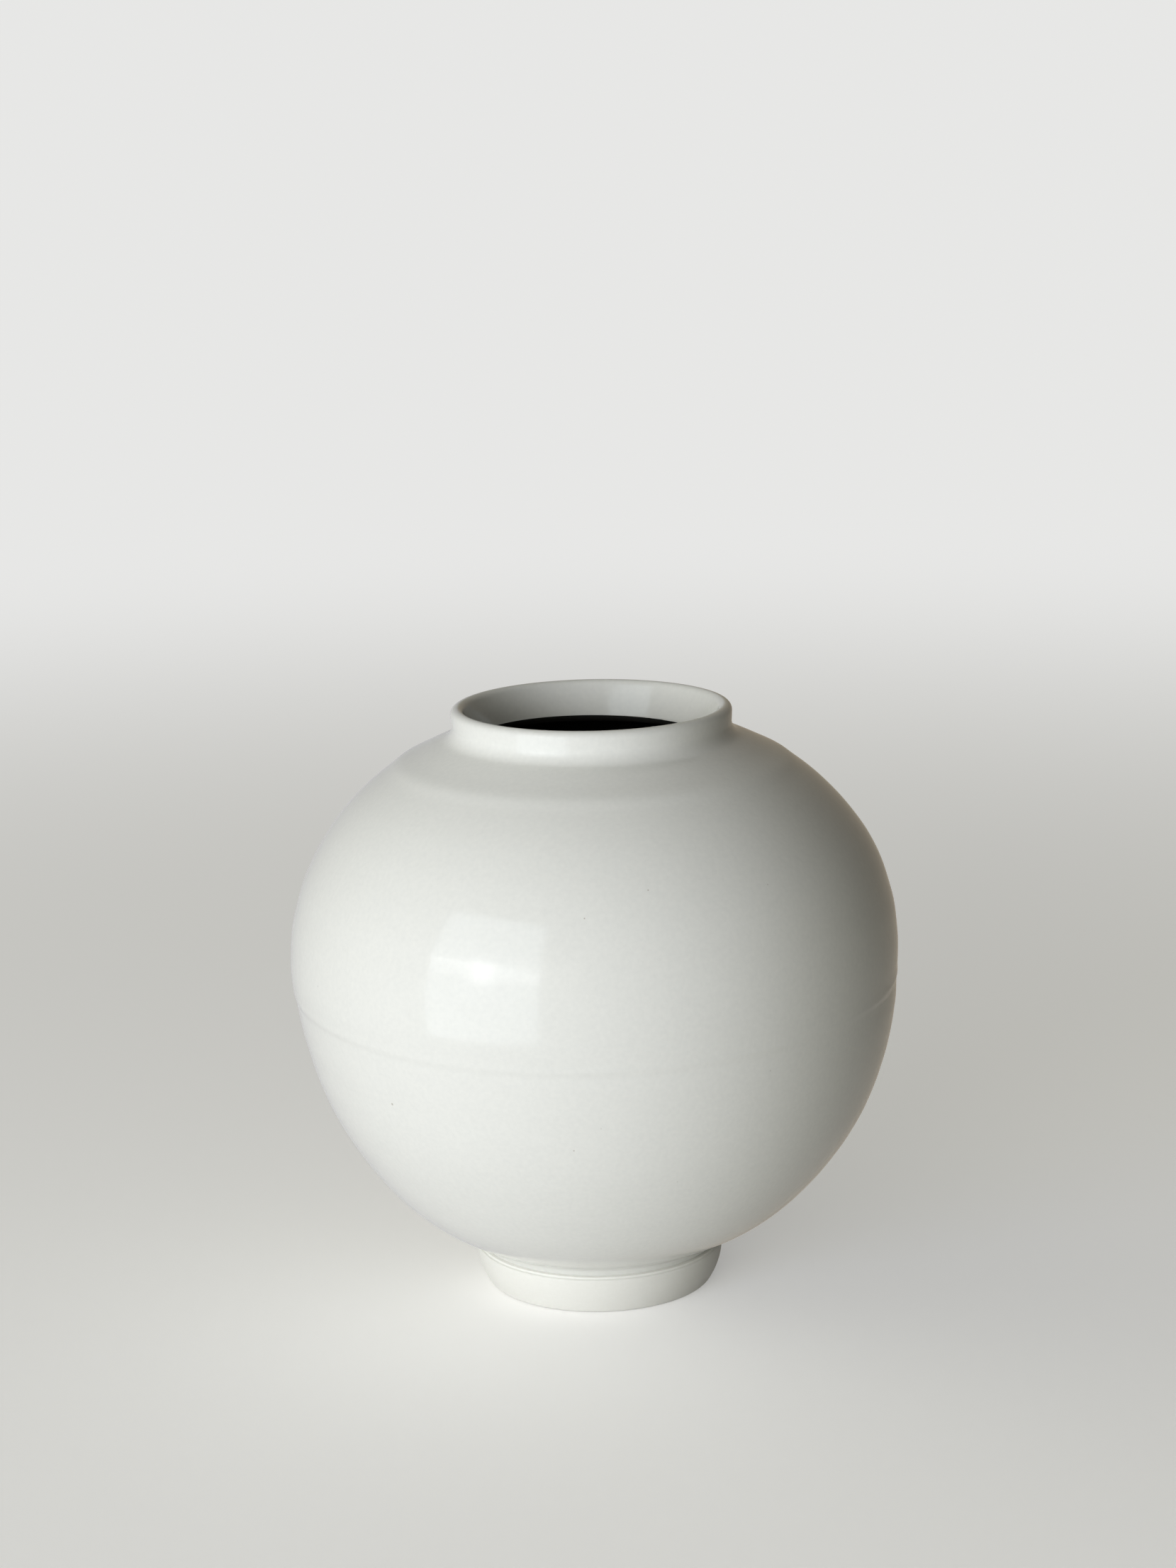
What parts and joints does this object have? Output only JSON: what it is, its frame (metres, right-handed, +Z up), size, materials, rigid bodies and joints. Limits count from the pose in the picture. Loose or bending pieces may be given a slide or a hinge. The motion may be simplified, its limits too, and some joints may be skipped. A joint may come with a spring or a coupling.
{
  "type": "porcelain moon jar",
  "caption": "Round white glazed porcelain moon jar with a short upright mouth, a waist seam where its thrown halves meet, and a low bare foot ring.",
  "frame": {"origin": "centre of the foot ring's standing face, on the surface that the jar stands on", "axes": "+Z up along the jar's turning axis; X and Y lie level, and the picture is taken from the -Y side"},
  "size_m": [0.13, 0.13, 0.1271],
  "materials": {
    "porcelain_body": "fired white porcelain under the glaze",
    "bare_foot": "bare fired porcelain, smooth and matte",
    "slip": "fired porcelain slip",
    "outer_glaze": "soft glossy milk-white glaze with fine pitting and a few iron specks",
    "inner_glaze": null
  },
  "bodies": {
    "root": {"lower_bowl": "porcelain_body", "upper_bowl": "porcelain_body", "mouth_collar": "porcelain_body", "foot_ring": "bare_foot", "waist_slip": "slip", "collar_slip": "slip", "foot_slip": "slip", "outer_glaze": "outer_glaze", "inner_glaze": "inner_glaze"}
  },
  "joints": []
}
